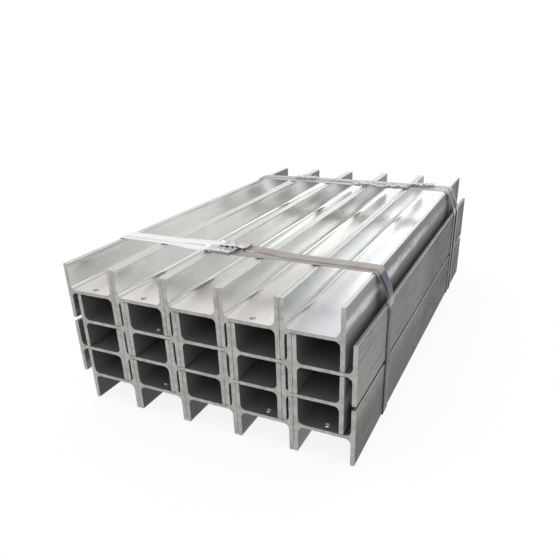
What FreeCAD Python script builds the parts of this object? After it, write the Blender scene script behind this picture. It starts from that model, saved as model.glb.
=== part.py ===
import FreeCAD, Part
import os
from collections import namedtuple
from math import sqrt

# A strapped bundle of short galvanized wide-flange beams. The beams lie along Y with their
# webs flat, five to a layer. Each layer is shifted sideways so that its flange edges stand in
# the troughs of the layer below. Two steel bands near each end hold the bundle together.
# +X is to the right, +Y runs from the front end to the back end, +Z is up. The origin is on
# the ground, under the middle of the bundle. Sizes are in millimetres.

# Beam section and length
beam_height = 100.0
flange_width = 100.0
flange_thickness = 7.0
web_thickness = 5.5
root_radius = 9.0
toe_radius = 1.5
beam_length = 900.0

# Stack
column_count = 5
layer_count = 4
column_gap = 0.8
nest_gap = 4.2
seat_clearance = 0.05

# Hanging holes for the zinc bath, as (layer from the top, column from the left)
hole_diameter = 10.0
hole_inset = 14.0
holed_beams = ((1, 1), (1, 2), (1, 4), (2, 2), (4, 2), (4, 4), (4, 5))

# Steel bands
band_width = 25.4
band_thickness = 0.9
band_clearance = 0.1
front_band_inset = 148.0
back_band_inset = 139.0

# Notched seals that lock the lapped ends of each band
seal_length = 50.0
seal_thickness = 0.8
seal_lip = 8.0
seal_notch_radius = 3.5
seal_notch_pitch = 18.0
seal_edge_clearance = 0.3
seal_side_gap = 0.6

# The straight part of a band's top run, and what hangs on it. A place is a share of that run.
# The inner band of a pair lies on the beams and the outer one lies one band further out.
Band = namedtuple("Band", "name outer y turn lean seal_places lap_places")

# Worked out from the sizes above
half_length = beam_length / 2
column_pitch = beam_height + column_gap
pair_width = 2 * flange_thickness + column_gap
layer_shift = pair_width + nest_gap
layer_width = column_count * column_pitch - column_gap
bundle_width = layer_width + layer_shift


def toe_lift():
    """Height of a resting toe above the web, where it meets the root fillet beside it."""
    radius = root_radius - toe_radius
    reach = max(0.0, radius - nest_gap)
    return radius - sqrt(radius ** 2 - reach ** 2)


layer_pitch = (flange_width + web_thickness) / 2 + toe_lift() + seat_clearance
band_step = band_thickness + band_clearance
stack_base = 2 * band_step
stack_top = stack_base + flange_width + (layer_count - 1) * layer_pitch
band_lift = seal_thickness + band_clearance
seal_width = band_width + 2 * (seal_edge_clearance + seal_thickness)
band_pitch = seal_width + seal_side_gap
front_y = front_band_inset - half_length
back_y = half_length - back_band_inset

bands = (
    Band("band_front_inner", False, front_y, -1.0, 3.0, (0.44,), (0.33, 0.52)),
    Band("band_front_outer", True, front_y + band_pitch, -1.0, -1.6, (0.47,), (0.40, 0.58)),
    Band("band_back_inner", False, back_y - band_pitch, -0.6, 3.0, (0.60, 0.75), (0.53, 0.82)),
    Band("band_back_outer", True, back_y, -0.6, 1.5, (0.26, 0.86), (0.19, 0.93)),
)


def layer_left(layer):
    """X of the left face of a layer. Even layers are shifted to the right."""
    shift = 0.0 if layer % 2 else layer_shift
    return shift - bundle_width / 2


def layer_middle(layer):
    """Z of the web centres of a layer, counted from the top."""
    return stack_base + flange_width / 2 + (layer_count - layer) * layer_pitch


def rounded_outline(corners):
    """Closed wire in the XZ plane through corners given as (x, z, radius)."""
    count = len(corners)
    starts = []
    ends = []
    middles = []
    for index, (x, z, radius) in enumerate(corners):
        corner = FreeCAD.Vector(x, 0, z)
        before = FreeCAD.Vector(corners[index - 1][0], 0, corners[index - 1][1])
        after = FreeCAD.Vector(corners[(index + 1) % count][0], 0, corners[(index + 1) % count][1])
        incoming = (before - corner).normalize()
        outgoing = (after - corner).normalize()
        starts.append(corner + incoming * radius)
        ends.append(corner + outgoing * radius)
        middles.append(corner + (incoming + outgoing) * radius * (1 - sqrt(0.5)))
    edges = []
    for index in range(count):
        edges.append(Part.Arc(starts[index], middles[index], ends[index]).toShape())
        edges.append(Part.makeLine(ends[index], starts[(index + 1) % count]))
    return Part.Wire(edges)


def beam_outline():
    """Section of a beam about its own centre, with its web along X."""
    outer = beam_height / 2
    inner = outer - flange_thickness
    tip = flange_width / 2
    web = web_thickness / 2
    corners = []
    for side in (-1, 1):
        corners += [
            (side * outer, side * tip, toe_radius),
            (side * outer, -side * tip, toe_radius),
            (side * inner, -side * tip, toe_radius),
            (side * inner, -side * web, root_radius),
            (-side * inner, -side * web, root_radius),
            (-side * inner, -side * tip, toe_radius),
        ]
    return rounded_outline(corners)


def make_beam(layer, column):
    """One beam in its place, with its hanging hole if it has one."""
    beam = Part.Face(beam_outline()).extrude(FreeCAD.Vector(0, beam_length, 0))
    centre_x = layer_left(layer) + (column - 1) * column_pitch + beam_height / 2
    beam.translate(FreeCAD.Vector(centre_x, -half_length, layer_middle(layer)))
    if (layer, column) in holed_beams:
        foot = FreeCAD.Vector(centre_x, hole_inset - half_length, layer_middle(layer) - web_thickness)
        beam = beam.cut(Part.makeCylinder(hole_diameter / 2, 2 * web_thickness, foot))
    return beam


def toe_centres():
    """Centres of the toes that the bands bend round, clockwise from the upper left."""
    left = layer_left(1) + toe_radius
    right = layer_left(1) + layer_width - toe_radius
    shifted_left = layer_left(2) + toe_radius
    shifted_right = layer_left(2) + layer_width - toe_radius
    reach = flange_width / 2 - toe_radius
    lifted_top = layer_middle(1) + reach + band_lift
    return (
        (left, lifted_top),
        (right, lifted_top),
        (shifted_right, layer_middle(2) + reach),
        (shifted_right, layer_middle(layer_count) - reach),
        (shifted_left, layer_middle(layer_count) - reach),
        (left, layer_middle(layer_count - 1) - reach),
    )


def band_offset(band):
    """Distance from the toe centres to the inner face of a band."""
    return toe_radius + band_clearance + (band_step if band.outer else 0.0)


def ring_face(inner_offset, outer_offset):
    """Face between two offsets of the line through the toe centres."""
    points = [FreeCAD.Vector(x, 0, z) for x, z in toe_centres()]
    line = Part.makePolygon(points + points[:1])
    outer = Part.Face(line.makeOffset2D(outer_offset))
    return outer.cut(Part.Face(line.makeOffset2D(inner_offset)))


def top_run():
    """X of the two ends of the straight run over the top layer."""
    centres = toe_centres()
    return centres[0][0], centres[1][0]


def run_x(place):
    """X of a place given as a share of the top run."""
    start, end = top_run()
    return start + place * (end - start)


def lap_strip(band):
    """The upper of the two lapped ends, which lies on the band between two places."""
    start = run_x(band.lap_places[0])
    end = run_x(band.lap_places[1])
    height = stack_top - toe_radius + band_lift + band_offset(band) + band_thickness
    corner = FreeCAD.Vector(start, -half_length, height)
    return Part.makeBox(end - start, beam_length, band_thickness, corner)


def band_slab(band):
    """Slanted slab as thick as the band is wide, which cuts the band out of a long sleeve."""
    start, end = top_run()
    pivot = FreeCAD.Vector((start + end) / 2, band.y, stack_top)
    reach = 2 * (bundle_width + stack_top)
    corner = FreeCAD.Vector(pivot.x - reach / 2, band.y - band_width / 2, stack_top - reach / 2)
    slab = Part.makeBox(reach, band_width, reach, corner)
    slab.rotate(pivot, FreeCAD.Vector(1, 0, 0), band.lean)
    slab.rotate(pivot, FreeCAD.Vector(0, 0, 1), band.turn)
    return slab


def make_band(band):
    """A closed band with its lapped end, as one solid."""
    inner = band_offset(band)
    sleeve = ring_face(inner, inner + band_thickness).extrude(FreeCAD.Vector(0, beam_length, 0))
    sleeve.translate(FreeCAD.Vector(0, -half_length, 0))
    return sleeve.fuse(lap_strip(band)).common(band_slab(band)).removeSplitter()


def make_seal(band, place):
    """A seal folded round the two lapped ends, open below between its lips."""
    half_inner = band_width / 2 + seal_edge_clearance
    half_outer = half_inner + seal_thickness
    floor = -band_clearance
    ceiling = 2 * band_thickness + band_clearance
    points = (
        (-half_outer + seal_lip, floor),
        (-half_inner, floor),
        (-half_inner, ceiling),
        (half_inner, ceiling),
        (half_inner, floor),
        (half_outer - seal_lip, floor),
        (half_outer - seal_lip, floor - seal_thickness),
        (half_outer, floor - seal_thickness),
        (half_outer, ceiling + seal_thickness),
        (-half_outer, ceiling + seal_thickness),
        (-half_outer, floor - seal_thickness),
        (-half_outer + seal_lip, floor - seal_thickness),
    )
    outline = [FreeCAD.Vector(-seal_length / 2, y, z) for y, z in points]
    section = Part.Face(Part.makePolygon(outline + outline[:1]))
    seal = section.extrude(FreeCAD.Vector(seal_length, 0, 0))
    notch_foot = floor - 2 * seal_thickness
    notch_height = ceiling - floor + 4 * seal_thickness
    for side in (-1, 1):
        for x in (-seal_notch_pitch / 2, seal_notch_pitch / 2):
            foot = FreeCAD.Vector(x, side * half_outer, notch_foot)
            seal = seal.cut(Part.makeCylinder(seal_notch_radius, notch_height, foot))
    start, end = top_run()
    x = run_x(place)
    under_band = stack_top - toe_radius + band_lift + band_offset(band)
    seal.translate(FreeCAD.Vector(x, band.y, under_band))
    seal.rotate(FreeCAD.Vector((start + end) / 2, band.y, 0), FreeCAD.Vector(0, 0, 1), band.turn)
    return seal


def save(node, shape):
    """Write one node, and print what it is."""
    shape.exportStep(f"parts/{node}.step")
    solids = len(shape.Solids)
    print(node, "solids", solids, "valid", shape.isValid(), "volume", round(shape.Volume, 1))


os.makedirs("parts", exist_ok=True)
for layer in range(1, layer_count + 1):
    for column in range(1, column_count + 1):
        save(f"beam_{layer}_{column}", make_beam(layer, column))
for band in bands:
    save(band.name, make_band(band))
    for number, place in enumerate(band.seal_places, start=1):
        save(f"{band.name.replace('band', 'seal')}_{number}", make_seal(band, place))
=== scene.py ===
import math
import random

import bpy
import bmesh
from mathutils import Matrix, Vector, noise


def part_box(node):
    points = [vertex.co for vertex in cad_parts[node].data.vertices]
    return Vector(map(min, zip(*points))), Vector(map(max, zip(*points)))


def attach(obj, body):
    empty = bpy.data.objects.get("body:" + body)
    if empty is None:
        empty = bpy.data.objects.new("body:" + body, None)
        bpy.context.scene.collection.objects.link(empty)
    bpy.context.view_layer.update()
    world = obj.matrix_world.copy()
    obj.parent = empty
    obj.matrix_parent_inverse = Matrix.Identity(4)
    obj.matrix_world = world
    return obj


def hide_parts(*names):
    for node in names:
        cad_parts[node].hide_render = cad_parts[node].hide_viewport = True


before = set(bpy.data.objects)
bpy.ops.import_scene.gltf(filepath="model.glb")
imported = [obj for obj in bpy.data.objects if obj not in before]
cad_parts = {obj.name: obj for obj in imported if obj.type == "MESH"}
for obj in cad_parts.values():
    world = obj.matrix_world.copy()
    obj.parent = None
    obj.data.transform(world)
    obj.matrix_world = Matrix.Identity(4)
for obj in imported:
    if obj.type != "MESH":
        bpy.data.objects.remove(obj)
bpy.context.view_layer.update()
print("frame loaded:", len(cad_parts), "nodes")

# Bundle of galvanized beams: twenty rolled beams, four strapping bands, six crimped seals.
# Everything is in metres. +X is right, +Y runs to the back end, +Z is up.


def put(tree, kind, inputs=None, **settings):
    node = tree.nodes.new(kind)
    for name, value in settings.items():
        setattr(node, name, value)
    for key, value in (inputs or {}).items():
        feed(tree, node.inputs[key], value)
    return node


def feed(tree, socket, value):
    if isinstance(value, bpy.types.NodeSocket):
        tree.links.new(value, socket)
    else:
        socket.default_value = value


def calc(tree, operation, first, second=0.0, third=0.0, clamp=False):
    node = put(tree, "ShaderNodeMath", {0: first, 1: second, 2: third}, operation=operation)
    node.use_clamp = clamp
    return node.outputs[0]


def times(tree, first, *others):
    # product of several values
    for other in others:
        first = calc(tree, "MULTIPLY", first, other)
    return first


def vectorCalc(tree, operation, first, second=None, scale=None):
    node = put(tree, "ShaderNodeVectorMath", {0: first}, operation=operation)
    if second is not None:
        feed(tree, node.inputs[1], second)
    if scale is not None:
        feed(tree, node.inputs["Scale"], scale)
    return node.outputs[0]


def band(tree, value, low, high, outLow=0.0, outHigh=1.0):
    # smooth step from low to high
    node = put(tree, "ShaderNodeMapRange", {0: value, 1: low, 2: high, 3: outLow, 4: outHigh})
    node.interpolation_type = "SMOOTHSTEP"
    return node.outputs[0]


def blend(tree, factor, first, second, mode="MIX"):
    node = put(tree, "ShaderNodeMix", data_type="RGBA", blend_type=mode)
    feed(tree, node.inputs[0], factor)
    feed(tree, node.inputs[6], first)
    feed(tree, node.inputs[7], second)
    return node.outputs[2]


def grain(tree, place, scale, detail=3.0, roughness=0.55, distortion=0.0):
    inputs = {"Vector": place, "Scale": scale, "Detail": detail, "Roughness": roughness}
    node = put(tree, "ShaderNodeTexNoise", inputs)
    node.inputs["Distortion"].default_value = distortion
    return node.outputs[0]


def stretch(tree, place, factors):
    return vectorCalc(tree, "MULTIPLY", place, factors)


def addSockets(tree, inputs, outputs):
    for name, kind, value in inputs:
        socket = tree.interface.new_socket(name, in_out="INPUT", socket_type=kind)
        if value is not None:
            socket.default_value = value
    for name, kind in outputs:
        tree.interface.new_socket(name, in_out="OUTPUT", socket_type=kind)
    return tree.nodes.new("NodeGroupInput").outputs, tree.nodes.new("NodeGroupOutput")


def closeTree(tree, geometry, material, result):
    # every geometry tree ends in real geometry that has its material
    real = put(tree, "GeometryNodeRealizeInstances", {0: geometry}).outputs[0]
    dressed = put(tree, "GeometryNodeSetMaterial", {"Geometry": real, "Material": material})
    feed(tree, result.inputs[0], dressed.outputs[0])


def seededNoise(tree, place, seed, scale, detail):
    inputs = {"Vector": place, "W": seed, "Scale": scale, "Detail": detail}
    return put(tree, "ShaderNodeTexNoise", inputs, noise_dimensions="4D").outputs


def newMaterial(name):
    material = bpy.data.materials.new(name)
    material.use_nodes = True
    tree = material.node_tree
    return material, tree, tree.nodes["Principled BSDF"]


def placeGroup(tree, group, inputs=None):
    node = tree.nodes.new("ShaderNodeGroup")
    node.node_tree = group
    for key, value in (inputs or {}).items():
        feed(tree, node.inputs[key], value)
    return node.outputs


def makeZincSkin():
    # cloudy tone, fine grain and drawn streaks that every zinc surface shows
    tree = bpy.data.node_groups.new("zincSkin", "ShaderNodeTree")
    sockets = (
        ("Place", "NodeSocketVector", None),
        ("Cloud Scale", "NodeSocketFloat", 14.0),
        ("Grain Scale", "NodeSocketFloat", 420.0),
        ("Streak", "NodeSocketFloat", 0.5),
        ("Seed", "NodeSocketFloat", 0.0),
    )
    source, result = addSockets(tree, sockets, (
        ("Cloud", "NodeSocketFloat"),
        ("Grain", "NodeSocketFloat"),
        ("Streaks", "NodeSocketFloat"),
        ("Height", "NodeSocketFloat"),
    ))
    shift = vectorCalc(tree, "SCALE", (0.37, 0.0, 0.53), scale=source["Seed"])
    place = vectorCalc(tree, "ADD", source["Place"], shift)
    cloud = grain(tree, stretch(tree, place, (1.0, 0.45, 1.0)), source["Cloud Scale"], 5.0, 0.6, 0.6)
    fine = grain(tree, place, source["Grain Scale"], 2.0, 0.6)
    drawn = grain(tree, stretch(tree, place, (260.0, 5.0, 260.0)), 1.0, 3.0, 0.6)
    soft = calc(tree, "SUBTRACT", drawn, 0.5)
    streaks = calc(tree, "MULTIPLY_ADD", soft, source["Streak"], 0.5)
    height = calc(tree, "MULTIPLY_ADD", calc(tree, "SUBTRACT", cloud, 0.5), 1.6, fine)
    feed(tree, result.inputs["Cloud"], cloud)
    feed(tree, result.inputs["Grain"], fine)
    feed(tree, result.inputs["Streaks"], streaks)
    feed(tree, result.inputs["Height"], calc(tree, "MULTIPLY_ADD", soft, 0.7, height))
    return tree


zincSkin = makeZincSkin()


beamSizes = {
    "flangeThickness": 0.0070,
    "webThickness": 0.0055,
    "rootRadius": 0.0090,
    "toeRadius": 0.0015,
    "columns": 5,
    "layers": 4,
    "flatStep": 0.0075,
    "alongSteps": 91,
    "waviness": 0.00012,
    "toeWander": 0.00035,
    "holeDiameter": 0.0100,
    "holeInset": 0.0140,
    "holed": ((1, 1), (1, 2), (1, 4), (2, 2), (4, 2), (4, 4), (4, 5)),
}


def sectionOutline(height, width):
    # closed outline of the rolled section about its own centre, as (across, up)
    outer = height / 2
    inner = outer - beamSizes["flangeThickness"]
    tip = width / 2
    web = beamSizes["webThickness"] / 2
    toe = beamSizes["toeRadius"]
    root = beamSizes["rootRadius"]
    corners = []
    for side in (-1, 1):
        corners += [
            (side * outer, side * tip, toe),
            (side * outer, -side * tip, toe),
            (side * inner, -side * tip, toe),
            (side * inner, -side * web, root),
            (-side * inner, -side * web, root),
            (-side * inner, -side * tip, toe),
        ]
    count = len(corners)
    points = []
    for index, (x, z, radius) in enumerate(corners):
        corner = Vector((x, z))
        before = (Vector(corners[index - 1][:2]) - corner).normalized()
        after = (Vector(corners[(index + 1) % count][:2]) - corner).normalized()
        centre = corner + (before + after) * radius
        steps = 6 if radius > 0.004 else 4
        for step in range(steps + 1):
            turn = step / steps * math.pi / 2
            points.append(centre - after * math.cos(turn) * radius - before * math.sin(turn) * radius)
        following = Vector(corners[(index + 1) % count][:2])
        start = corner + after * radius
        end = following - after * corners[(index + 1) % count][2]
        parts = max(1, round((end - start).length / beamSizes["flatStep"]))
        for part in range(1, parts):
            points.append(start.lerp(end, part / parts))
    return points


def makeBeamTree():
    tree = bpy.data.node_groups.new("rolledBeam", "GeometryNodeTree")
    sockets = (
        ("Geometry", "NodeSocketGeometry", None),
        ("Length", "NodeSocketFloat", 0.9),
        ("Steps", "NodeSocketInt", 91),
        ("Foot", "NodeSocketVector", (0.0, 0.0, 0.0)),
        ("Waviness", "NodeSocketFloat", 0.0001),
        ("Toe Wander", "NodeSocketFloat", 0.0003),
        ("Toe Height", "NodeSocketFloat", 0.048),
        ("Holed", "NodeSocketBool", False),
        ("Hole Diameter", "NodeSocketFloat", 0.01),
        ("Hole Inset", "NodeSocketFloat", 0.014),
        ("Seed", "NodeSocketFloat", 0.0),
        ("Key", "NodeSocketVector", (1.0, 1.0, 0.0)),
        ("Material", "NodeSocketMaterial", None),
    )
    source, result = addSockets(tree, sockets, (("Geometry", "NodeSocketGeometry"),))
    outline = put(tree, "GeometryNodeMeshToCurve", {0: source["Geometry"]}).outputs[0]
    far = put(tree, "ShaderNodeCombineXYZ", {1: source["Length"]}).outputs[0]
    line = put(tree, "GeometryNodeCurvePrimitiveLine", {"Start": (0, 0, 0), "End": far}).outputs[0]
    path = put(tree, "GeometryNodeResampleCurve", {"Curve": line, "Count": source["Steps"]}).outputs[0]
    swept = put(tree, "GeometryNodeCurveToMesh",
                {"Curve": path, "Profile Curve": outline, "Fill Caps": True}).outputs[0]
    # mill waviness along the faces, and toes that wander as a rolled edge does
    position = put(tree, "GeometryNodeInputPosition").outputs[0]
    normal = put(tree, "GeometryNodeInputNormal").outputs[0]
    split = put(tree, "ShaderNodeSeparateXYZ", {0: position}).outputs
    slow = seededNoise(tree, stretch(tree, position, (1.0, 0.4, 1.0)), source["Seed"], 17.0, 2.0)[0]
    quick = seededNoise(tree, position, source["Seed"], 55.0, 3.0)[0]
    wave = calc(tree, "MULTIPLY", calc(tree, "SUBTRACT", slow, 0.5), source["Waviness"])
    flat = vectorCalc(tree, "MULTIPLY", normal, (2.0, 0.0, 2.0))
    offset = vectorCalc(tree, "SCALE", flat, scale=wave)
    atToe = calc(tree, "GREATER_THAN", calc(tree, "ABSOLUTE", split[2]), source["Toe Height"])
    wander = calc(tree, "MULTIPLY", calc(tree, "SUBTRACT", quick, 0.55), source["Toe Wander"])
    wander = times(tree, wander, 2.0, atToe, calc(tree, "SIGN", split[2]))
    lift = put(tree, "ShaderNodeCombineXYZ", {2: wander}).outputs[0]
    offset = vectorCalc(tree, "ADD", offset, lift)
    shaped = put(tree, "GeometryNodeSetPosition", {"Geometry": swept, "Offset": offset}).outputs[0]
    # hanging hole for the zinc bath, drilled through the web
    radius = calc(tree, "MULTIPLY", source["Hole Diameter"], 0.5)
    drill = put(tree, "GeometryNodeMeshCylinder", {"Vertices": 28, "Radius": radius, "Depth": 0.03})
    drillFoot = put(tree, "ShaderNodeCombineXYZ", {1: source["Hole Inset"]}).outputs[0]
    placed = put(tree, "GeometryNodeTransform",
                 {"Geometry": drill.outputs["Mesh"], "Translation": drillFoot}).outputs[0]
    drilled = put(tree, "GeometryNodeMeshBoolean", {0: shaped}, operation="DIFFERENCE")
    tree.links.new(placed, drilled.inputs[1])
    chosen = put(tree, "GeometryNodeSwitch", {0: source["Holed"]}, input_type="GEOMETRY")
    tree.links.new(shaped, chosen.inputs["False"])
    tree.links.new(drilled.outputs[0], chosen.inputs["True"])
    # where a point lies in its own beam, in millimetres, for the finish
    ownPlace = vectorCalc(tree, "SCALE", position, scale=1000.0)
    kept = put(tree, "GeometryNodeStoreNamedAttribute",
               {"Geometry": chosen.outputs[0], "Name": "beamPlace"}, data_type="FLOAT_VECTOR")
    tree.links.new(ownPlace, kept.inputs["Value"])
    keyed = put(tree, "GeometryNodeStoreNamedAttribute",
                {"Geometry": kept.outputs[0], "Name": "beamKey"}, data_type="FLOAT_VECTOR")
    tree.links.new(source["Key"], keyed.inputs["Value"])
    moved = put(tree, "GeometryNodeTransform",
                {"Geometry": keyed.outputs[0], "Translation": source["Foot"]}).outputs[0]
    closeTree(tree, moved, source["Material"], result)
    return tree


def runTree(name, mesh, tree, values):
    # evaluates a tree on a mesh and keeps the plain result as one object
    carrier = bpy.data.objects.new(name + "Carrier", mesh)
    bpy.context.scene.collection.objects.link(carrier)
    modifier = carrier.modifiers.new("shape", "NODES")
    modifier.node_group = tree
    for item in tree.interface.items_tree:
        if item.item_type == "SOCKET" and item.in_out == "INPUT" and item.name in values:
            modifier[item.identifier] = values[item.name]
    graph = bpy.context.evaluated_depsgraph_get()
    made = bpy.data.meshes.new_from_object(carrier.evaluated_get(graph), depsgraph=graph)
    carrier.modifiers.remove(modifier)
    bpy.data.objects.remove(carrier)
    made.name = name
    return made


def finishMesh(mesh, sharpAngle=35.0, merge=0.0):
    shape = bmesh.new()
    shape.from_mesh(mesh)
    if merge:
        bmesh.ops.remove_doubles(shape, verts=shape.verts, dist=merge)
    bmesh.ops.recalc_face_normals(shape, faces=shape.faces)
    shape.to_mesh(mesh)
    shape.free()
    mesh.shade_smooth()
    mesh.set_sharp_from_angle(angle=math.radians(sharpAngle))
    return mesh


def addPiece(name, mesh, replaced=()):
    piece = bpy.data.objects.new(name, mesh)
    bpy.context.scene.collection.objects.link(piece)
    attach(piece, "root")
    if replaced:
        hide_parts(*replaced)
    return piece


def outlineMesh(name, loops, closed=True):
    points = []
    edges = []
    for loop in loops:
        first = len(points)
        points += [tuple(point) for point in loop]
        edges += [(first + step, first + step + 1) for step in range(len(loop) - 1)]
        if closed:
            edges.append((first + len(loop) - 1, first))
    mesh = bpy.data.meshes.new(name)
    mesh.from_pydata(points, edges, [])
    return mesh


zincTones = {
    "pale": (0.80, 0.815, 0.80, 1.0),
    "mid": (0.72, 0.74, 0.72, 1.0),
    "web": (0.76, 0.74, 0.725, 1.0),
    "webWarm": (0.92, 0.865, 0.81, 1.0),
    "webBlue": (0.78, 0.79, 0.825, 1.0),
    "peach": (0.46, 0.40, 0.36, 1.0),
    "toe": (0.60, 0.595, 0.58, 1.0),
    "bare": (0.52, 0.505, 0.485, 1.0),
    "cut": (0.40, 0.385, 0.37, 1.0),
    "bright": (0.93, 0.93, 0.92, 1.0),
    "soot": (0.26, 0.265, 0.255, 1.0),
    "under": (0.06, 0.058, 0.055, 1.0),
    "brown": (0.45, 0.38, 0.33, 1.0),
}


# where each finish, painted shade, painted highlight and painted reflection starts to show and where it is
# full, in millimetres in a beam's own section, and along the beam from its front end
beamMarks = {
    "aboveWeb": (-1.0, 1.0),
    "insideFlanges": (49.4, 49.0),
    "outsideLeft": (-49.2, -49.7),
    "webAcross": (40.0, 34.0),
    "webUp": (9.0, 5.0),
    "flangeFace": (41.0, 42.9),
    "frontEnd": (0.5, 0.2),
    "backEnd": (899.5, 899.8),
    "toe": (48.9, 49.5),
    "toeEdgeLow": (48.2, 48.7),
    "toeEdgeHigh": (49.7, 49.2),
    "flangeClimb": (12.0, 38.0),
    "lowDrop": (560.0, 700.0),
    "lowLift": (480.0, 600.0),
    "lowBack": (760.0, 850.0),
    "highFade": (480.0, 740.0),
    "highBack": (740.0, 830.0),
    "flangeFront": (300.0, 150.0),
    "flangeHaze": (560.0, 680.0),
    "webFront": (260.0, 40.0),
    "webBack": (620.0, 840.0),
    "rootInner": (-36.6, -37.6),
    "rootOuter": (-41.4, -40.4),
    "shineAcross": (-41.0, -42.0),
    "shineUp": (13.0, 9.0),
}

# painted reflection and shade: share of its tone that a face keeps. Pairs are (change from column to
# column, start).
reflectionShares = {
    "low": (-0.1, 1.38),
    "lowDrop": (0.15, 0.10),
    "lastTrough": (-0.66, 1.0),
    "lowLift": 0.5,
    "lowBack": 0.28,
    "high": (-0.22, 1.72),
    "highFade": 0.30,
    "highBack": 0.16,
    "front": (0.075, -0.20),
    "most": 1.2,
    "webBack": 0.82,
}

# how much of each stain, painted shade, painted highlight and painted reflection shows
stainsAndPaintedLight = {
    "streak": 0.25,
    "webCloud": 0.35,
    "dullLeft": 0.8,
    "rootReflection": 0.65,
    "paintedShine": 0.8,
    "soot": 0.9,
}

# roughness of clean zinc, and what each place adds
beamRoughness = {
    "zinc": 0.12,
    "cloud": 0.04,
    "web": 0.09,
    "webFront": 0.10,
    "dullLeft": 0.25,
    "haze": 0.07,
    "toe": 0.25,
    "endFace": 0.40,
}

beamMetal = {"zinc": 0.85, "endFace": -0.5, "under": -0.45, "soot": -0.25}


def ownPlace(tree):
    # where a point lies in its own beam, and which beam that is
    place = put(tree, "ShaderNodeAttribute", attribute_name="beamPlace").outputs["Vector"]
    key = put(tree, "ShaderNodeAttribute", attribute_name="beamKey").outputs["Vector"]
    placeParts = put(tree, "ShaderNodeSeparateXYZ", {0: place}).outputs
    keyParts = put(tree, "ShaderNodeSeparateXYZ", {0: key}).outputs
    return placeParts, keyParts


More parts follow.
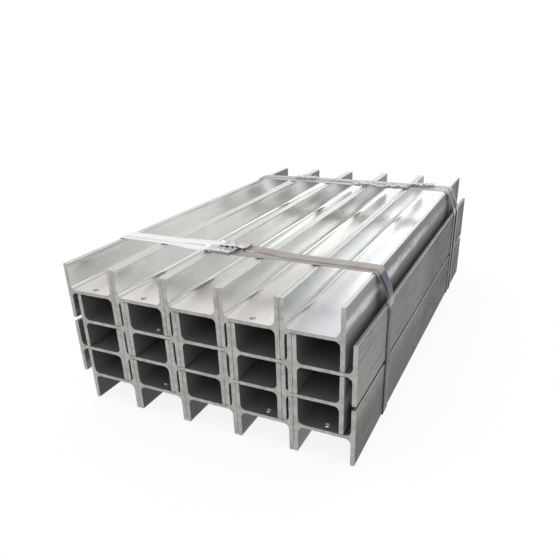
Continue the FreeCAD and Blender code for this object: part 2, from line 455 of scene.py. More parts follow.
def makeBeamFinish():
    material, tree, shader = newMaterial("galvanizedBeam")
    (across, along, up), (column, layer, chance) = ownPlace(tree)
    metres = put(tree, "ShaderNodeTexCoord").outputs["Object"]
    skin = placeGroup(tree, zincSkin, {"Place": metres, "Cloud Scale": 16.0, "Seed": chance, "Streak": 0.6})

    def mark(value, name, outLow=0.0, outHigh=1.0):
        return band(tree, value, *beamMarks[name], outLow, outHigh)

    def byColumn(name):
        return calc(tree, "MULTIPLY_ADD", column, *reflectionShares[name])

    farAcross = calc(tree, "ABSOLUTE", across)
    farUp = calc(tree, "ABSOLUTE", up)
    above = mark(up, "aboveWeb")
    inTopTrough = calc(tree, "MULTIPLY", calc(tree, "LESS_THAN", layer, 1.5), above)
    below = calc(tree, "SUBTRACT", 1.0, above)
    inBottom = calc(tree, "MULTIPLY", calc(tree, "GREATER_THAN", layer, beamSizes["layers"] - 0.5), below)
    insideFace = mark(farAcross, "insideFlanges")
    openFace = calc(tree, "MAXIMUM", inTopTrough, inBottom)
    inCell = calc(tree, "MULTIPLY", insideFace, calc(tree, "SUBTRACT", 1.0, openFace))
    endFace = calc(tree, "MAXIMUM", mark(along, "frontEnd"), mark(along, "backEnd"))
    awayFromEnd = band(tree, endFace, 0.5, 0.0)
    topWeb = times(tree, mark(farAcross, "webAcross"), mark(farUp, "webUp"), inTopTrough)
    lastColumn = band(tree, column, 4.2, 4.8)
    # base tone with slow clouds and drawn streaks
    tone = blend(tree, band(tree, skin["Cloud"], 0.34, 0.66), zincTones["mid"], zincTones["pale"])
    darkStreak = band(tree, skin["Streaks"], 0.42, 0.34)
    tone = blend(tree, calc(tree, "MULTIPLY", darkStreak, stainsAndPaintedLight["streak"]), tone, zincTones["brown"])
    # painted reflection and shade: the flange faces over the troughs keep a share of their tone set by
    # column, height and distance along, darker low down and towards the back end
    lastTrough = calc(tree, "MULTIPLY_ADD", lastColumn, *reflectionShares["lastTrough"])
    lowDrop = times(tree, byColumn("lowDrop"), lastTrough, mark(along, "lowDrop"))
    lowShare = calc(tree, "SUBTRACT", byColumn("low"), lowDrop)
    lowLift = calc(tree, "MULTIPLY", lastColumn, mark(along, "lowLift"))
    lowShare = calc(tree, "MULTIPLY_ADD", lowLift, reflectionShares["lowLift"], lowShare)
    lowShare = calc(tree, "MULTIPLY", lowShare, mark(along, "lowBack", 1.0, reflectionShares["lowBack"]))
    highShare = calc(tree, "SUBTRACT", 1.0, mark(along, "highFade", 0.0, reflectionShares["highFade"]))
    highBack = mark(along, "highBack", 1.0, reflectionShares["highBack"])
    highShare = times(tree, highShare, highBack, byColumn("high"))
    climb = mark(up, "flangeClimb")
    spread = calc(tree, "SUBTRACT", highShare, lowShare)
    share = calc(tree, "MULTIPLY_ADD", spread, climb, lowShare)
    share = calc(tree, "MINIMUM", share, reflectionShares["most"])
    frontShare = calc(tree, "MULTIPLY", byColumn("front"), mark(along, "flangeFront"))
    share = calc(tree, "MULTIPLY", share, calc(tree, "ADD", frontShare, 1.0))
    reflectionPainted = blend(tree, 1.0, tone, share, "MULTIPLY")
    onFlange = calc(tree, "MULTIPLY", inTopTrough, mark(farAcross, "flangeFace"))
    tone = blend(tree, onFlange, tone, reflectionPainted)
    # painted reflection on the webs: pale, warmer near the front end, bluish in the last trough and darker
    # towards the back end
    nearFront = mark(along, "webFront")
    webTone = blend(tree, nearFront, zincTones["web"], zincTones["webWarm"])
    webTone = blend(tree, lastColumn, webTone, zincTones["webBlue"])
    webCloud = calc(tree, "MULTIPLY", band(tree, skin["Cloud"], 0.6, 0.4), stainsAndPaintedLight["webCloud"])
    webTone = blend(tree, webCloud, webTone, zincTones["mid"])
    webTone = blend(tree, 1.0, webTone, mark(along, "webBack", 1.0, reflectionShares["webBack"]), "MULTIPLY")
    tone = blend(tree, topWeb, tone, webTone)
    # the outer faces on the left are duller
    leftFace = calc(tree, "MULTIPLY", mark(across, "outsideLeft"), band(tree, column, 1.6, 1.4))
    dullLeft = blend(tree, band(tree, skin["Cloud"], 0.38, 0.62), zincTones["cut"], zincTones["bare"])
    tone = blend(tree, calc(tree, "MULTIPLY", leftFace, stainsAndPaintedLight["dullLeft"]), tone, dullLeft)
    # painted reflection: a brown strip along each left root fillet; painted highlight: a bright line above
    # it. The toes take their own tone
    ragged = calc(tree, "MULTIPLY_ADD", calc(tree, "SUBTRACT", skin["Cloud"], 0.5), 6.0, across)
    leftRoot = times(tree, mark(ragged, "rootInner"), mark(ragged, "rootOuter"), inTopTrough)
    tone = blend(tree, calc(tree, "MULTIPLY", leftRoot, stainsAndPaintedLight["rootReflection"]), tone, zincTones["peach"])
    paintedShine = times(tree, mark(ragged, "shineAcross"), mark(farUp, "shineUp"), inTopTrough)
    tone = blend(tree, calc(tree, "MULTIPLY", paintedShine, stainsAndPaintedLight["paintedShine"]), tone, zincTones["bright"])
    toe = mark(farUp, "toe")
    tone = blend(tree, toe, tone, zincTones["toe"])
    # painted highlight: speckled bright lines along the toe edges
    speckled = band(tree, skin["Grain"], 0.40, 0.58)
    toeEdgeGlint = times(tree, mark(farUp, "toeEdgeLow"), mark(farUp, "toeEdgeHigh"), speckled)
    tone = blend(tree, toeEdgeGlint, tone, zincTones["bright"])
    # cut ends are matt and mottled
    mottle = grain(tree, metres, 95.0, 3.0, 0.6)
    endTone = blend(tree, band(tree, mottle, 0.35, 0.62), zincTones["cut"], zincTones["bare"])
    tone = blend(tree, endFace, tone, endTone)
    # painted shade: dark cell interiors and dark undersides of the bottom layer's troughs
    cellShade = calc(tree, "MULTIPLY", inCell, awayFromEnd)
    tone = blend(tree, calc(tree, "MULTIPLY", cellShade, stainsAndPaintedLight["soot"]), tone, zincTones["soot"])
    under = times(tree, inBottom, insideFace, awayFromEnd)
    tone = blend(tree, under, tone, zincTones["under"])
    feed(tree, shader.inputs["Base Color"], tone)
    rough = beamRoughness["zinc"]
    places = {
        "cloud": band(tree, skin["Cloud"], 0.3, 0.7),
        "web": topWeb,
        "webFront": calc(tree, "MULTIPLY", topWeb, nearFront),
        "dullLeft": leftFace,
        "haze": calc(tree, "MULTIPLY", onFlange, mark(along, "flangeHaze")),
        "toe": toe,
        "endFace": endFace,
    }
    for name, place in places.items():
        rough = calc(tree, "MULTIPLY_ADD", place, beamRoughness[name], rough, clamp=name == "endFace")
    feed(tree, shader.inputs["Roughness"], rough)
    metal = beamMetal["zinc"]
    for name, place in {"endFace": endFace, "under": under, "soot": cellShade}.items():
        metal = calc(tree, "MULTIPLY_ADD", place, beamMetal[name], metal, clamp=name == "soot")
    feed(tree, shader.inputs["Metallic"], metal)
    bump = put(tree, "ShaderNodeBump", {"Strength": 0.10, "Distance": 0.0002, "Height": skin["Height"]})
    feed(tree, shader.inputs["Normal"], bump.outputs[0])
    return material


# tones of the right faces: upperFront, upper, lower, lowerFront, cloud and cloudBack paint reflection on
# the top layer; front, middle and back paint shade darkening to the back end, and dusk paints shade low
# down and also darkens random patches and streaks; stain and scuff are real marks
sideTones = {
    "upperFront": (0.32, 0.315, 0.31, 1.0),
    "upper": (0.21, 0.215, 0.205, 1.0),
    "cloud": (0.74, 0.74, 0.735, 1.0),
    "cloudBack": (0.38, 0.38, 0.37, 1.0),
    "lower": (0.27, 0.275, 0.265, 1.0),
    "lowerFront": (0.31, 0.30, 0.29, 1.0),
    "dusk": (0.08, 0.082, 0.078, 1.0),
    "front": (0.31, 0.30, 0.29, 1.0),
    "middle": (0.215, 0.215, 0.21, 1.0),
    "back": (0.10, 0.10, 0.095, 1.0),
    "stain": (0.34, 0.255, 0.215, 1.0),
    "scuff": (0.45, 0.45, 0.44, 1.0),
}


# where each tone of the right faces changes, in millimetres in a beam's own section, and
# along the beam from its front end
sideMarks = {
    "upperBack": (30.0, 260.0),
    "cloudBack": (380.0, 560.0),
    "cloudLow": (7.0, 19.0),
    "cloudHigh": (36.0, 23.0),
    "lowerFront": (260.0, 60.0),
    "upper": (4.0, 14.0),
    "reflectionBack": (800.0, 870.0),
    "middle": (60.0, 230.0),
    "back": (390.0, 540.0),
    "low": (55.0, 0.0),
}


def makeSideFinish():
    # outer faces on the right: painted reflection on the top layer, a cloudy light band over darker tones;
    # painted shade and streaky grey below
    material, tree, shader = newMaterial("sideReflectionAndShade")
    (across, along, up), (column, layer, chance) = ownPlace(tree)
    metres = put(tree, "ShaderNodeTexCoord").outputs["Object"]
    skin = placeGroup(tree, zincSkin, {"Place": metres, "Cloud Scale": 22.0, "Seed": chance, "Streak": 0.8})

    def mark(value, name):
        return band(tree, value, *sideMarks[name])

    def stain(tone, place, amount, name):
        return blend(tree, calc(tree, "MULTIPLY", place, amount), tone, sideTones[name])

    wisp = grain(tree, stretch(tree, metres, (1.0, 2.6, 14.0)), 3.0, 4.0, 0.6, 0.9)
    drift = calc(tree, "MULTIPLY_ADD", calc(tree, "SUBTRACT", wisp, 0.5), 22.0, up)
    upper = blend(tree, mark(along, "upperBack"), sideTones["upperFront"], sideTones["upper"])
    cloud = blend(tree, mark(along, "cloudBack"), sideTones["cloud"], sideTones["cloudBack"])
    cloudReflection = times(tree, mark(drift, "cloudLow"), mark(drift, "cloudHigh"), band(tree, wisp, 0.28, 0.50))
    lower = blend(tree, mark(along, "lowerFront"), sideTones["lower"], sideTones["lowerFront"])
    topLayerReflection = blend(tree, mark(drift, "upper"), lower, upper)
    topLayerReflection = blend(tree, cloudReflection, topLayerReflection, cloud)
    topLayerReflection = blend(tree, mark(along, "reflectionBack"), topLayerReflection, sideTones["back"])
    # painted shade on the faces below: darker towards the back end and low down on the bottom layer; random
    # patches, streaks, scuffs and rusty stains are real marks
    dull = blend(tree, mark(along, "middle"), sideTones["front"], sideTones["middle"])
    dull = blend(tree, mark(along, "back"), dull, sideTones["back"])
    low = calc(tree, "MULTIPLY", band(tree, layer, 3.4, 3.6), mark(up, "low"))
    dull = stain(dull, low, 0.78, "dusk")
    dull = stain(dull, band(tree, skin["Cloud"], 0.52, 0.36), 0.4, "dusk")
    streaky = grain(tree, stretch(tree, metres, (3.0, 9.0, 120.0)), 1.0, 4.0, 0.65)
    dull = stain(dull, band(tree, streaky, 0.52, 0.36), 0.35, "dusk")
    dull = stain(dull, band(tree, streaky, 0.58, 0.74), 0.35, "scuff")
    rain = grain(tree, stretch(tree, metres, (40.0, 75.0, 16.0)), 1.0, 5.0, 0.7, 0.8)
    rusty = calc(tree, "MULTIPLY", band(tree, rain, 0.50, 0.66), band(tree, skin["Cloud"], 0.44, 0.60))
    dull = stain(dull, rusty, 0.35, "stain")
    tone = blend(tree, band(tree, layer, 1.6, 1.4), dull, topLayerReflection)
    tone = stain(tone, band(tree, skin["Grain"], 0.62, 0.70), 0.35, "scuff")
    feed(tree, shader.inputs["Base Color"], tone)
    feed(tree, shader.inputs["Roughness"], band(tree, skin["Cloud"], 0.3, 0.7, 0.42, 0.55))
    shader.inputs["Specular IOR Level"].default_value = 0.12
    bump = put(tree, "ShaderNodeBump", {"Strength": 0.2, "Distance": 0.0002, "Height": skin["Height"]})
    feed(tree, shader.inputs["Normal"], bump.outputs[0])
    return material


def markSide(mesh, finishes, edge):
    # the outermost right face takes the finish with painted reflection and shade
    mesh.materials.clear()
    for finish in finishes:
        mesh.materials.append(finish)
    for face in mesh.polygons:
        face.material_index = 0
        if face.normal.x > 0.5 and face.center.x > edge - 0.0006:
            face.material_index = 1


def makeBeams():
    tree = makeBeamTree()
    finish = makeBeamFinish()
    sideFinish = makeSideFinish()
    shuffle = random.Random(7)
    for layer in range(1, beamSizes["layers"] + 1):
        for column in range(1, beamSizes["columns"] + 1):
            node = f"beam_{layer}_{column}"
            low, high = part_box(node)
            size = high - low
            middle = (low + high) / 2
            loop = [(point.x, point.y, 0.0) for point in sectionOutline(size.x, size.z)]
            values = {
                "Length": size.y,
                "Steps": beamSizes["alongSteps"],
                "Foot": (middle.x, low.y, middle.z),
                "Waviness": beamSizes["waviness"],
                "Toe Wander": beamSizes["toeWander"],
                "Toe Height": size.z / 2 - 0.0012,
                "Holed": (layer, column) in beamSizes["holed"],
                "Hole Diameter": beamSizes["holeDiameter"],
                "Hole Inset": beamSizes["holeInset"],
                "Seed": layer * 10.0 + column,
                "Key": (float(column), float(layer), shuffle.random()),
                "Material": finish,
            }
            mesh = runTree(f"rolled_beam_{layer}_{column}", outlineMesh("section", [loop]), tree, values)
            finishMesh(mesh, 50.0)
            if column == beamSizes["columns"]:
                markSide(mesh, (finish, sideFinish), high.x)
            addPiece(f"rolled_beam_{layer}_{column}", mesh, [node])
    print("beams rolled")


makeBeams()


bandSizes = {
    "width": 0.0254,
    "thickness": 0.0009,
    "clearance": 0.0001,
    "lift": 0.0009,
    "runStep": 0.012,
    "lapStep": 0.006,
    "lapClearance": 0.00006,
    "arcSteps": 5,
    "ripple": 0.0005,
}

# Corners run clockwise from the upper left: top left, top right, second layer right,
# bottom right, bottom left, third layer left. Shifts and the bulge are in millimetres, and a
# shift is along the beams, at a corner. The other places are shares of the top run: it has no
# shift inside "level", and the upper lapped end lies between the two places in "lap".
bandCourses = {
    "band_front_inner": {
        "outer": False,
        "shifts": (9.0, 6.0, 15.0, 6.0, 0.0, 0.0),
        "level": (0.36, 0.54),
        "ease": 0.16,
        "bulge": 3.0,
        "lap": (0.37, 0.50),
    },
    "band_front_outer": {
        "outer": True,
        "shifts": (-8.0, -12.0, -5.0, -2.0, 0.0, -4.0),
        "level": (0.36, 0.54),
        "ease": 0.16,
        "bulge": 3.5,
        "lap": (0.40, 0.53),
    },
    "band_back_inner": {
        "outer": False,
        "shifts": (4.0, -2.5, 12.0, 6.0, 0.0, 0.0),
        "level": (0.50, 0.85),
        "ease": 0.3,
        "bulge": 2.0,
        "lap": (0.53, 0.82),
    },
    "band_back_outer": {
        "outer": True,
        "shifts": (-7.0, -1.0, 18.0, 10.0, 0.0, 0.0),
        "level": (0.17, 0.94),
        "ease": 0.15,
        "bulge": 2.5,
        "lap": (0.19, 0.93),
    },
}


def toeCentres():
    toe = beamSizes["toeRadius"]
    topLow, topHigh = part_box("beam_1_1")
    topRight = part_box("beam_1_5")[1]
    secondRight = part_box("beam_2_5")[1]
    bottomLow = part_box("beam_4_1")[0]
    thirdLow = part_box("beam_3_1")[0]
    lifted = topHigh.z - toe + bandSizes["lift"]
    return (
        Vector((topLow.x + toe, 0, lifted)),
        Vector((topRight.x - toe, 0, lifted)),
        Vector((secondRight.x - toe, 0, secondRight.z - toe)),
        Vector((secondRight.x - toe, 0, bottomLow.z + toe)),
        Vector((bottomLow.x + toe, 0, bottomLow.z + toe)),
        Vector((thirdLow.x + toe, 0, thirdLow.z + toe)),
    )


def middleAlong(node, corner):
    # middle of a CAD band, along the beams, where it bends round a corner
    points = [vertex.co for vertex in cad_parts[node].data.vertices]
    near = [point.y for point in points if (Vector((point.x, 0, point.z)) - corner).length < 0.012]
    return (min(near) + max(near)) / 2


def shiftAt(course, index, share):
    # shift of a band along the beams, on the run that follows a corner
    shifts = course["shifts"]
    start = shifts[index]
    end = shifts[(index + 1) % len(shifts)]
    if index:
        return start + (end - start) * share
    # the bands of a pair lie side by side between their lapped ends, and overlap beyond them
    low, high = course["level"]
    if share < low:
        ease = min(1.0, (low - share) / course["ease"])
        return start * ease * ease * (3 - 2 * ease)
    ease = min(1.0, max(0.0, share - high) / course["ease"])
    return end * ease * ease * (3 - 2 * ease)


def ringCourse(node, course):
    # centre line of a band, from the middle of its top run all the way round
    corners = toeCentres()
    count = len(corners)
    offset = beamSizes["toeRadius"] + bandSizes["clearance"] + bandSizes["thickness"] / 2
    if course["outer"]:
        offset += bandSizes["thickness"] + bandSizes["clearance"]
    places = [middleAlong(node, corner) for corner in corners]
    points = []
    topCount = 0
    for index in range(count):
        corner = corners[index]
        following = corners[(index + 1) % count]
        before = (corner - corners[index - 1]).normalized()
        after = (following - corner).normalized()
        outBefore = Vector((-before.z, 0, before.x))
        outAfter = Vector((-after.z, 0, after.x))
        for step in range(bandSizes["arcSteps"] + 1):
            out = outBefore.slerp(outAfter, step / bandSizes["arcSteps"])
            along = places[index] + shiftAt(course, index, 0.0) / 1000
            points.append(corner + out * offset + Vector((0, along, 0)))
        length = (following - corner).length
        parts = max(2, round(length / bandSizes["runStep"]))
        for part in range(1, parts):
            share = part / parts
            point = corner.lerp(following, share) + outAfter * offset
            point.y = places[index] + (places[(index + 1) % count] - places[index]) * share
            point.y += shiftAt(course, index, share) / 1000
            if index == 1:
                point += outAfter * math.sin(math.pi * share) * course["bulge"] / 1000
            points.append(point)
        if index == 0:
            topCount = len(points)
    middle = topCount // 2
    return points[middle:] + points[:middle], places


def makeBandTree():
    tree = bpy.data.node_groups.new("strappingBand", "GeometryNodeTree")
    sockets = (
        ("Geometry", "NodeSocketGeometry", None),
        ("Width", "NodeSocketFloat", 0.0254),
        ("Thickness", "NodeSocketFloat", 0.0009),
        ("Edge Radius", "NodeSocketFloat", 0.0002),
        ("Ripple", "NodeSocketFloat", 0.0004),
        ("Seed", "NodeSocketFloat", 0.0),
        ("Material", "NodeSocketMaterial", None),
    )
    source, result = addSockets(tree, sockets, (("Geometry", "NodeSocketGeometry"),))
    course = put(tree, "GeometryNodeMeshToCurve", {0: source["Geometry"]}).outputs[0]
    section = put(tree, "GeometryNodeCurvePrimitiveQuadrilateral",
                  {"Width": source["Width"], "Height": source["Thickness"]}).outputs[0]
    eased = put(tree, "GeometryNodeFilletCurve",
                {"Curve": section, "Radius": source["Edge Radius"]}, mode="POLY")
    eased.inputs["Count"].default_value = 2
    fine = put(tree, "GeometryNodeSubdivideCurve", {"Curve": eased.outputs[0], "Cuts": 3}).outputs[0]
    swept = put(tree, "GeometryNodeCurveToMesh",
                {"Curve": course, "Profile Curve": fine, "Fill Caps": True}).outputs[0]
    position = put(tree, "GeometryNodeInputPosition").outputs[0]
    wander = seededNoise(tree, position, source["Seed"], 30.0, 2.0)[1]
    centred = vectorCalc(tree, "SUBTRACT", wander, (0.5, 0.5, 0.5))
    offset = vectorCalc(tree, "SCALE", centred, scale=source["Ripple"])
    rippled = put(tree, "GeometryNodeSetPosition", {"Geometry": swept, "Offset": offset}).outputs[0]
    closeTree(tree, rippled, source["Material"], result)
    return tree


bandTones = {
    "worn": (0.34, 0.30, 0.28, 1.0),
    "wornPale": (0.45, 0.415, 0.395, 1.0),
    "paintedShine": (0.90, 0.905, 0.91, 1.0),
    "blue": (0.10, 0.115, 0.145, 1.0),
    "blueBack": (0.19, 0.20, 0.225, 1.0),
    "grey": (0.48, 0.49, 0.50, 1.0),
}


# where the band steel changes, in metres: to the right, towards the back, and up
bandMarks = {
    "front": (0.02, -0.02),
    "shinyLeft": (-0.01, -0.05),
    "shinyTop": (0.252, 0.260),
    "overSide": (0.242, 0.247),
    "belowTop": (0.262, 0.256),
    "tipLow": (0.200, 0.205),
    "tipHigh": (0.222, 0.214),
    "topRun": (0.24, 0.25),
}


def makeBandFinish():
    material, tree, shader = newMaterial("bandSteel")
    metres = put(tree, "ShaderNodeTexCoord").outputs["Object"]
    right, back, up = put(tree, "ShaderNodeSeparateXYZ", {0: metres}).outputs
    inputs = {"Place": metres, "Cloud Scale": 30.0, "Grain Scale": 700.0, "Streak": 0.3}
    skin = placeGroup(tree, zincSkin, inputs)

    def mark(value, name):
        return band(tree, value, *bandMarks[name])

    clouds = band(tree, skin["Cloud"], 0.35, 0.65)
    worn = blend(tree, clouds, bandTones["worn"], bandTones["wornPale"])
    front = mark(back, "front")
    worn = blend(tree, front, bandTones["grey"], worn)
    # painted highlight: the left part of the front bands' top run is near white and smoother
    paintedHighlightLeft = times(tree, mark(right, "shinyLeft"), front, mark(up, "shinyTop"))
    tone = blend(tree, paintedHighlightLeft, worn, bandTones["paintedShine"])
    # painted reflection: dark bluish where the bands bend down over the right side, darker on the front
    # bands
    overSide = calc(tree, "MULTIPLY", mark(right, "overSide"), mark(up, "belowTop"))
    tip = calc(tree, "MULTIPLY", mark(up, "tipLow"), mark(up, "tipHigh"))
    sideReflection = calc(tree, "MULTIPLY", overSide, calc(tree, "SUBTRACT", 1.0, tip))
    sideReflectionTone = blend(tree, front, bandTones["blueBack"], bandTones["blue"])
    tone = blend(tree, sideReflection, tone, sideReflectionTone)
    # painted light: the underside of the top run, towards the beams, is painted bright and not metallic
    normal = put(tree, "ShaderNodeNewGeometry").outputs["Normal"]
    facing = put(tree, "ShaderNodeSeparateXYZ", {0: normal}).outputs[2]
    paintedLitUnderside = calc(tree, "MULTIPLY", band(tree, facing, -0.4, -0.8), mark(up, "topRun"))
    tone = blend(tree, paintedLitUnderside, tone, bandTones["paintedShine"])
    feed(tree, shader.inputs["Base Color"], tone)
    rough = band(tree, skin["Cloud"], 0.3, 0.7, 0.42, 0.56)
    feed(tree, shader.inputs["Roughness"], calc(tree, "MULTIPLY_ADD", paintedHighlightLeft, -0.2, rough))
    feed(tree, shader.inputs["Metallic"], calc(tree, "MULTIPLY_ADD", paintedLitUnderside, -0.55, 0.55))
    bump = put(tree, "ShaderNodeBump", {"Strength": 0.15, "Distance": 0.0002, "Height": skin["Height"]})
    feed(tree, shader.inputs["Normal"], bump.outputs[0])
    return material


def lapCourse(points, places, course):
    # the upper lapped end lies on the top run, and its two tips spring up a little
    corners = toeCentres()
    left, right = corners[0].x, corners[1].x
    start, end = course["lap"]
    level = max(point.z for point in points) + bandSizes["thickness"] + bandSizes["lapClearance"]
    steps = max(8, round((end - start) * (right - left) / bandSizes["lapStep"]))
    lap = []
    for step in range(steps + 1):
        share = step / steps
        place = start + (end - start) * share
        x = left + place * (right - left)
        y = places[0] + (places[1] - places[0]) * place + shiftAt(course, 0, place) / 1000
        spring = max(0.0, share - 0.94) ** 1.5 * 0.35 + max(0.0, 0.05 - share) ** 1.5 * 0.25
        lap.append(Vector((x, y, level + spring)))
    return lap


def makeBands():
    tree = makeBandTree()
    finish = makeBandFinish()
    for number, (node, course) in enumerate(bandCourses.items()):
        points, places = ringCourse(node, course)
        lap = lapCourse(points, places, course)
        values = {
            "Width": bandSizes["width"],
            "Thickness": bandSizes["thickness"],
            "Ripple": bandSizes["ripple"],
            "Seed": number + 3.0,
            "Material": finish,
        }
        ring = runTree(node + "_ring", outlineMesh("course", [points]), tree, values)
        tail = runTree(node + "_tail", outlineMesh("course", [lap], closed=False), tree, values)
        name = "strapping_" + node[5:]
        mesh = joinMeshes(name, (ring, tail))
        mesh.materials.clear()
        mesh.materials.append(finish)
        finishMesh(mesh, 40.0, merge=0.000002)
        addPiece(name, mesh, [node])
    print("bands strapped")


def joinMeshes(name, meshes):
    shape = bmesh.new()
    for mesh in meshes:
        shape.from_mesh(mesh)
    joined = bpy.data.meshes.new(name)
    shape.to_mesh(joined)
    shape.free()
    return joined


makeBands()


sealSizes = {
    "length": 0.050,
    "thickness": 0.0008,
    "sideRoom": 0.0007,
    "lip": 0.008,
    "pitch": 0.0125,
    "toothRise": 0.0036,
    "toothReach": 0.0022,
    "notchPinch": 0.0030,
    "notchDrop": 0.0016,
    "sway": 0.006,
    "backLift": 1.5,
    "farShare": 0.45,
    "lipRise": 0.0022,
    "crumple": 0.0009,
    "plainHollow": 0.38,
    "crestStart": 0.200,
    "crestFade": 0.014,
    "alongSteps": 64,
    "acrossSteps": 60,
    "turnFront": -1.0,
    "turnBack": -0.6,
    "seed": 11,
}


# tone of the near wall of each seal, from 0, darkest, to 1, brightest
sealHollows = {"seal_front_outer_1": 0.0, "seal_front_inner_1": 0.25}


def sealSection(share, half, ceiling, lip):
    # point of the folded section, share running from one lip over the top to the other lip
    runs = ((lip, 0), (ceiling, 1), (2 * half, 2), (ceiling, 3), (lip, 4))
    total = sum(length for length, kind in runs)
    reach = share * total
    for length, kind in runs:
        if reach <= length or kind == 4:
            step = min(reach / length, 1.0)
            break
        reach -= length
    if kind == 0:
        return -half + lip * (1 - step), 0.0, kind
    if kind == 1:
        return -half, ceiling * step, kind
    if kind == 2:
        return -half + 2 * half * step, ceiling, kind
    if kind == 3:
        return half, ceiling * (1 - step), kind
    return half - lip * step, 0.0, kind


def sealMesh(name, node, seed, turn):
    low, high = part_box(node)
    middle = (low + high) / 2
    half = bandSizes["width"] / 2 + sealSizes["sideRoom"]
    base = low.z + sealSizes["thickness"] / 2
    hollow = sealHollows.get(node, sealSizes["plainHollow"])
    lift = sealSizes["backLift"] if "back" in node else 1.0
    ceiling = high.z - low.z - sealSizes["thickness"]
    alongCount, acrossCount = sealSizes["alongSteps"], sealSizes["acrossSteps"]
    shape = bmesh.new()
    shadeAndHighlight = shape.verts.layers.float.new("sealShadeAndHighlight")
    rows = []
    for alongIndex in range(alongCount + 1):
        x = (alongIndex / alongCount - 0.5) * sealSizes["length"]
        row = []
        for acrossIndex in range(acrossCount + 1):
            y, z, kind = sealSection(acrossIndex / acrossCount, half, ceiling, sealSizes["lip"])
            edge = min(1.0, abs(y) / half) ** 3
            sway = noise.noise(Vector((x * 70, seed * 5.1, 0.0))) * sealSizes["sway"]
            phase = math.cos(2 * math.pi * (x + sway) / sealSizes["pitch"])
            inner = 1.0 if abs(x) < 1.9 * sealSizes["pitch"] else 0.4
            near = 1.0 if y < 0 else sealSizes["farShare"]
            tooth = edge * (0.5 + 0.5 * phase) * inner * near
            notch = edge * max(0.0, -phase) ** 2 * inner * near
            side = 1.0 if y > 0 else -1.0
            y += side * (tooth * sealSizes["toothReach"] - notch * sealSizes["notchPinch"])
            if kind in (1, 2, 3):
                rise = z / ceiling
                z += rise * (tooth * sealSizes["toothRise"] * lift - notch * sealSizes["notchDrop"])
                z += rise * edge * near * sealSizes["lipRise"] * lift
            jitter = noise.noise_vector(Vector((x * 160, y * 160 + seed * 7.3, seed * 3.1)))
            x2 = x + jitter.x * sealSizes["crumple"] * 0.5 * edge
            z += jitter.z * sealSizes["crumple"] * (0.35 + edge)
            vertex = shape.verts.new((x2, y, base + z))
            # painted shade in the notches, painted highlight along the near top edge, and random lighter
            # and darker spots
            vertex[shadeAndHighlight] = 0.50 + 0.30 * jitter.y - 0.3 * notch
            if kind == 2 and y < 0:
                vertex[shadeAndHighlight] += 0.7 * edge
            if kind == 1:
                upper = (acrossIndex / acrossCount - sealSizes["crestStart"]) / sealSizes["crestFade"]
                vertex[shadeAndHighlight] = hollow + (1.05 - hollow) * min(1.0, max(0.0, upper))
            row.append(vertex)
        rows.append(row)
    for alongIndex in range(alongCount):
        for acrossIndex in range(acrossCount):
            shape.faces.new((
                rows[alongIndex][acrossIndex],
                rows[alongIndex + 1][acrossIndex],
                rows[alongIndex + 1][acrossIndex + 1],
                rows[alongIndex][acrossIndex + 1],
            ))
    place = Matrix.Translation((middle.x, middle.y, 0)) @ Matrix.Rotation(math.radians(turn), 4, "Z")
    bmesh.ops.transform(shape, matrix=place, verts=shape.verts)
    mesh = bpy.data.meshes.new(name)
    shape.to_mesh(mesh)
    shape.free()
    return mesh


sealTones = {
    "body": (0.42, 0.42, 0.42, 1.0),
    "pale": (0.72, 0.72, 0.715, 1.0),
    "notch": (0.07, 0.065, 0.075, 1.0),
    "crestHighlight": (0.95, 0.95, 0.95, 1.0),
}


def makeSealFinish():
    material, tree, shader = newMaterial("sealSteel")
    metres = put(tree, "ShaderNodeTexCoord").outputs["Object"]
    inputs = {"Place": metres, "Cloud Scale": 60.0, "Grain Scale": 800.0, "Streak": 0.2}
    skin = placeGroup(tree, zincSkin, inputs)
    shadeAndHighlight = put(tree, "ShaderNodeAttribute", attribute_name="sealShadeAndHighlight").outputs["Fac"]
    tone = blend(tree, band(tree, skin["Cloud"], 0.35, 0.65), sealTones["body"], sealTones["pale"])
    # painted shade in the notches, painted highlight on the crests
    tone = blend(tree, band(tree, shadeAndHighlight, 0.40, 0.05), tone, sealTones["notch"])
    tone = blend(tree, band(tree, shadeAndHighlight, 0.62, 0.85), tone, sealTones["crestHighlight"])
    feed(tree, shader.inputs["Base Color"], tone)
    feed(tree, shader.inputs["Roughness"], band(tree, skin["Cloud"], 0.3, 0.7, 0.28, 0.42))
    shader.inputs["Metallic"].default_value = 0.7
    bump = put(tree, "ShaderNodeBump", {"Strength": 0.4, "Distance": 0.0005, "Height": skin["Height"]})
    feed(tree, shader.inputs["Normal"], bump.outputs[0])
    return material


def makeSeals():
    finish = makeSealFinish()
    nodes = sorted(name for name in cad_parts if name.startswith("seal_"))
    noise.seed_set(sealSizes["seed"])  # the same crumple each run
    for seed, node in enumerate(nodes):
        name = "crimped_" + node
        turn = sealSizes["turnFront"] if "front" in node else sealSizes["turnBack"]
        mesh = sealMesh(name, node, seed, turn)
        mesh.materials.append(finish)
        piece = bpy.data.objects.new(name, mesh)
        bpy.context.scene.collection.objects.link(piece)
        thick = piece.modifiers.new("thickness", "SOLIDIFY")
        thick.thickness = sealSizes["thickness"]
        thick.offset = 0.0
        graph = bpy.context.evaluated_depsgraph_get()
        solid = bpy.data.meshes.new_from_object(piece.evaluated_get(graph), depsgraph=graph)
        bpy.data.objects.remove(piece)
        finishMesh(solid, 60.0)
        addPiece(name, solid, [node])
    print("seals crimped")


makeSeals()


dropSizes = {
    "spacing": 0.004,
    "share": 0.30,
    "smallest": 0.00025,
    "largest": 0.0008,
    "seed": 11,
    "dull": (0.42, 0.42, 0.41, 1.0),
    "bright": (0.78, 0.78, 0.77, 1.0),
}


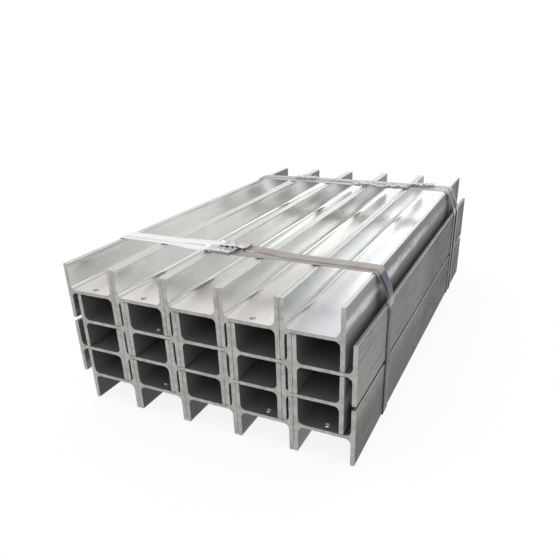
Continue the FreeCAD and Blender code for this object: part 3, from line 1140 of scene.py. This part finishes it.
def makeDropTree():
    tree = bpy.data.node_groups.new("zincDrops", "GeometryNodeTree")
    sockets = (
        ("Geometry", "NodeSocketGeometry", None),
        ("Spacing", "NodeSocketFloat", 0.004),
        ("Share", "NodeSocketFloat", 0.3),
        ("Smallest", "NodeSocketFloat", 0.0004),
        ("Largest", "NodeSocketFloat", 0.0014),
        ("Seed", "NodeSocketInt", 5),
        ("Material", "NodeSocketMaterial", None),
    )
    source, result = addSockets(tree, sockets, (("Geometry", "NodeSocketGeometry"),))
    rim = put(tree, "GeometryNodeMeshToCurve", {0: source["Geometry"]}).outputs[0]
    spots = put(tree, "GeometryNodeCurveToPoints",
                {"Curve": rim, "Length": source["Spacing"]}, mode="LENGTH")
    chosen = put(tree, "FunctionNodeRandomValue", data_type="BOOLEAN")
    feed(tree, chosen.inputs["Probability"], source["Share"])
    feed(tree, chosen.inputs["Seed"], source["Seed"])
    jitter = put(tree, "FunctionNodeRandomValue", data_type="FLOAT_VECTOR")
    jitter.inputs[0].default_value = (-0.0004, -0.0002, -0.0004)
    jitter.inputs[1].default_value = (0.0004, 0.0002, 0.0004)
    feed(tree, jitter.inputs["Seed"], calc(tree, "ADD", source["Seed"], 3.0))
    strewn = put(tree, "GeometryNodeSetPosition",
                 {"Geometry": spots.outputs["Points"], "Offset": jitter.outputs[0]}).outputs[0]
    drop = put(tree, "GeometryNodeMeshIcoSphere", {"Radius": 1.0, "Subdivisions": 2}).outputs[0]
    size = put(tree, "FunctionNodeRandomValue", data_type="FLOAT_VECTOR")
    small, large = source["Smallest"], source["Largest"]
    low = put(tree, "ShaderNodeCombineXYZ", {0: small, 1: small, 2: small})
    high = put(tree, "ShaderNodeCombineXYZ", {0: large, 1: small, 2: large})
    tree.links.new(low.outputs[0], size.inputs[0])
    tree.links.new(high.outputs[0], size.inputs[1])
    feed(tree, size.inputs["Seed"], calc(tree, "ADD", source["Seed"], 7.0))
    placed = put(tree, "GeometryNodeInstanceOnPoints", {"Points": strewn, "Instance": drop})
    feed(tree, placed.inputs["Selection"], chosen.outputs[3])
    feed(tree, placed.inputs["Scale"], size.outputs[0])
    closeTree(tree, placed.outputs[0], source["Material"], result)
    return tree


def makeDropFinish():
    material, tree, shader = newMaterial("zincDrop")
    metres = put(tree, "ShaderNodeTexCoord").outputs["Object"]
    mottle = grain(tree, metres, 260.0, 3.0, 0.6)
    feed(tree, shader.inputs["Base Color"], blend(tree, mottle, dropSizes["dull"], dropSizes["bright"]))
    feed(tree, shader.inputs["Roughness"], band(tree, mottle, 0.3, 0.7, 0.35, 0.55))
    shader.inputs["Metallic"].default_value = 0.5
    return material


def makeDrops():
    tree = makeDropTree()
    loops = []
    for layer in range(1, beamSizes["layers"] + 1):
        for column in range(1, beamSizes["columns"] + 1):
            low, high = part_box(f"beam_{layer}_{column}")
            middle = (low + high) / 2
            size = high - low
            outline = sectionOutline(size.x, size.z)
            for end in (low.y, high.y):
                loops.append([(middle.x + point.x, end, middle.z + point.y) for point in outline])
    values = {
        "Spacing": dropSizes["spacing"],
        "Share": dropSizes["share"],
        "Smallest": dropSizes["smallest"],
        "Largest": dropSizes["largest"],
        "Seed": dropSizes["seed"],
        "Material": makeDropFinish(),
    }
    mesh = runTree("zinc_drops", outlineMesh("rims", loops), tree, values)
    finishMesh(mesh, 180.0)
    addPiece("zinc_drops", mesh)
    print("zinc drops set:", len(mesh.polygons), "faces")


makeDrops()


studio = {
    "softLevel": 0.85,
    "floorHalf": 30.0,
    "floorShare": 0.80,
    "floorGlow": 1.09,
    "windowLevel": 1.9,
    "keyLevel": 0.35,
}

# panes of the studio's windows, each as (place, width, height): two rows with a dark bar
# between them, and one deeper pane on the right
windowPanes = {
    "windowHigh": ((0.05, 3.2, 1.40), 3.1, 0.38),
    "windowLow": ((0.0, 3.2, 1.085), 3.0, 0.11),
    "windowDeep": ((0.75, 3.2, 0.955), 0.5, 0.15),
}


def seenDirectly(tree):
    # 1 for camera, glossy and transmission rays
    light = put(tree, "ShaderNodeLightPath").outputs
    seen = calc(tree, "MAXIMUM", light["Is Camera Ray"], light["Is Glossy Ray"])
    return calc(tree, "MAXIMUM", seen, light["Is Transmission Ray"])


def makeFloor():
    half = studio["floorHalf"]
    mesh = bpy.data.meshes.new("floor")
    corners = [(-half, -half, 0), (half, -half, 0), (half, half, 0), (-half, half, 0)]
    mesh.from_pydata(corners, [], [(0, 1, 2, 3)])
    floor = bpy.data.objects.new("floor", mesh)
    bpy.context.scene.collection.objects.link(floor)
    material, tree, shader = newMaterial("paleFloor")
    tree.nodes.remove(shader)
    output = tree.nodes["Material Output"]
    plain = put(tree, "ShaderNodeBsdfDiffuse", {"Color": (0.8, 0.8, 0.8, 1)}).outputs[0]
    glow = put(tree, "ShaderNodeEmission", {"Strength": studio["floorGlow"]}).outputs[0]
    share = calc(tree, "MULTIPLY", seenDirectly(tree), studio["floorShare"])
    mixed = put(tree, "ShaderNodeMixShader", {0: share, 1: plain, 2: glow}).outputs[0]
    feed(tree, output.inputs["Surface"], mixed)
    mesh.materials.append(material)


def makeWorld():
    world = bpy.data.worlds.new("paleStudio")
    bpy.context.scene.world = world
    world.use_nodes = True
    tree = world.node_tree
    sky = tree.nodes["Background"]
    sky.inputs["Color"].default_value = (1.0, 1.0, 1.0, 1.0)
    level = calc(tree, "MULTIPLY_ADD", seenDirectly(tree), 1.0 - studio["softLevel"], studio["softLevel"])
    feed(tree, sky.inputs["Strength"], level)


def addPanel(name, place, aim, width, height, level):
    light = bpy.data.lights.new(name, "AREA")
    light.shape = "RECTANGLE"
    light.size = width
    light.size_y = height
    light.energy = level * math.pi * width * height
    lamp = bpy.data.objects.new(name, light)
    bpy.context.scene.collection.objects.link(lamp)
    lamp.location = place
    lamp.rotation_mode = "QUATERNION"
    lamp.rotation_quaternion = (Vector(aim) - Vector(place)).to_track_quat("-Z", "Y")
    lamp.visible_camera = False


def makeLights():
    for name, (place, width, height) in windowPanes.items():
        addPanel(name, place, (place[0], 0.0, place[2]), width, height, studio["windowLevel"])
    addPanel("softKey", (-1.6, -1.8, 2.6), (0, 0, 0.1), 2.2, 2.2, studio["keyLevel"])


view = {
    "place": (0.4618, -1.1018, 0.5722),
    "aim": (-0.0418, -0.0792, 0.0237),
    "roll": -1.89,
    "sensor": 36.0,
    "lens": 36.31,
    "shift": 0.0808,
}


def makeCamera():
    lens = bpy.data.cameras.new("camera")
    lens.sensor_width = view["sensor"]
    lens.lens = view["lens"]
    lens.shift_y = view["shift"]
    lens.clip_start, lens.clip_end = 0.05, 200.0
    camera = bpy.data.objects.new("camera", lens)
    bpy.context.scene.collection.objects.link(camera)
    place = Vector(view["place"])
    turn = (Vector(view["aim"]) - place).to_track_quat("-Z", "Y").to_matrix().to_4x4()
    roll = Matrix.Rotation(math.radians(view["roll"]), 4, "Z")
    camera.matrix_world = Matrix.Translation(place) @ turn @ roll
    bpy.context.scene.camera = camera


makeFloor()
makeWorld()
makeLights()
makeCamera()
bpy.context.scene.view_settings.view_transform = "Standard"
print("studio set")

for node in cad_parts.values():
    if not node.hide_render:
        print("still shown as CAD:", node.name)
